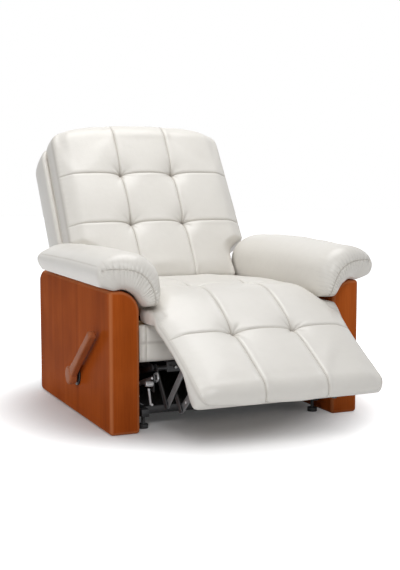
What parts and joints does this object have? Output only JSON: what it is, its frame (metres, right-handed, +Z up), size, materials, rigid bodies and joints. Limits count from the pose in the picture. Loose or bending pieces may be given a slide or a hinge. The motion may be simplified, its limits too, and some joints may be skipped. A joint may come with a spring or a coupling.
{
  "type": "recliner seat",
  "caption": "Wide manual recliner seat with wooden side panels, padded arms, quilted back and chaise, a fold-out footrest on a steel linkage and a side lever.",
  "frame": {"origin": "on the floor, under the middle of the whole seat as stored, with its footrest two thirds open", "axes": "+X towards the sitter's left, +Y towards the back, +Z up"},
  "size_m": [0.99, 1.5212, 0.9914],
  "materials": {
    "leather": "satin",
    "cherry_wood": "satin lacquer",
    "frame_wood": "raw",
    "black_steel": "satin",
    "grey_steel": "satin",
    "zinc": "bright",
    "black_nylon": "matte"
  },
  "bodies": {
    "frame": {"side_panel_right": "cherry_wood", "side_panel_left": "cherry_wood", "arm_pad_right": "leather", "arm_pad_left": "leather", "front_rail": "frame_wood", "rear_rail": "frame_wood", "side_rail_right": "frame_wood", "side_rail_left": "frame_wood", "seat_spring_1": "grey_steel", "seat_spring_2": "grey_steel", "seat_spring_3": "grey_steel", "seat_spring_4": "grey_steel", "seat_cushion": "leather", "chaise_bridge": "leather", "front_apron": "leather", "back_hinge_plate_right": "black_steel", "back_hinge_plate_left": "black_steel", "lever_escutcheon": "black_steel", "mechanism_plate_right": "black_steel", "mechanism_plate_left": "black_steel", "base_rail_right": "black_steel", "base_rail_left": "black_steel", "front_cross_tube": "black_steel", "rear_cross_tube": "black_steel", "levelling_foot_front_right": "black_nylon", "levelling_foot_front_left": "black_nylon", "levelling_foot_rear_right": "black_nylon", "levelling_foot_rear_left": "black_nylon", "front_cross_angle": "black_steel"},
    "footrest": {"footrest_pad": "leather", "footrest_board": "frame_wood", "footrest_bracket_right": "black_steel", "footrest_bracket_left": "black_steel"},
    "backrest": {"back_cushion": "leather", "back_board": "frame_wood", "back_shell": "leather", "back_bracket_right": "black_steel", "back_bracket_left": "black_steel"},
    "lever": {"lever_arm": "cherry_wood", "drive_shaft": "grey_steel", "drive_crank_right": "black_steel", "drive_crank_left": "black_steel"},
    "drive_rods": {"drive_rod_right": "zinc", "drive_rod_left": "zinc"},
    "shoulder_links": {"shoulder_link_right": "black_steel", "shoulder_link_left": "black_steel"},
    "lift_links": {"lift_link_right": "grey_steel", "lift_link_left": "grey_steel"},
    "cross_links": {"cross_link_right": "black_steel", "cross_link_left": "black_steel"},
    "toe_links": {"toe_link_right": "grey_steel", "toe_link_left": "grey_steel"}
  },
  "joints": [
    {"name": "footrest_fold", "type": "hinge", "parent": "frame", "child": "footrest", "pos_m": [0, -0.47723, 0.386], "axis": [-1, 0, 0], "range_deg": [-60, 30], "deforming": ["chaise_bridge"]},
    {"name": "back_recline", "type": "hinge", "parent": "frame", "child": "backrest", "pos_m": [0, 0.22477, 0.33], "axis": [-1, 0, 0], "range_deg": [-13, 27]},
    {"name": "lever_swing", "type": "hinge", "parent": "frame", "child": "lever", "pos_m": [0, -0.03123, 0.139], "axis": [-1, 0, 0], "range_deg": [-48.5, 24.5]},
    {"name": "rod_swing", "type": "hinge", "parent": "lever", "child": "drive_rods", "pos_m": [0, -0.04465, 0.07693], "axis": [-1, 0, 0], "range_deg": [-23, 45.5]},
    {"name": "shoulder_swing", "type": "hinge", "parent": "frame", "child": "shoulder_links", "pos_m": [0, -0.34723, 0.205], "axis": [-1, 0, 0], "range_deg": [-75.5, 38]},
    {"name": "lift_swing", "type": "hinge", "parent": "shoulder_links", "child": "lift_links", "pos_m": [0, -0.43723, 0.1], "axis": [-1, 0, 0], "range_deg": [-38, 75.5]},
    {"name": "cross_swing", "type": "hinge", "parent": "lift_links", "child": "cross_links", "pos_m": [0, -0.48415, 0.1493], "axis": [-1, 0, 0], "range_deg": [-69.5, 35]},
    {"name": "toe_swing", "type": "hinge", "parent": "cross_links", "child": "toe_links", "pos_m": [0, -0.52523, 0.103], "axis": [-1, 0, 0], "range_deg": [-38, 75.5]}
  ],
  "couplings": [
    {"joint": "lever_swing", "follows": "footrest_fold", "ratio": 0.8},
    {"joint": "rod_swing", "follows": "footrest_fold", "ratio": -0.75},
    {"joint": "shoulder_swing", "follows": "footrest_fold", "ratio": 1.25},
    {"joint": "lift_swing", "follows": "footrest_fold", "ratio": -1.25},
    {"joint": "cross_swing", "follows": "footrest_fold", "ratio": 1.15},
    {"joint": "toe_swing", "follows": "footrest_fold", "ratio": -1.25}
  ]
}
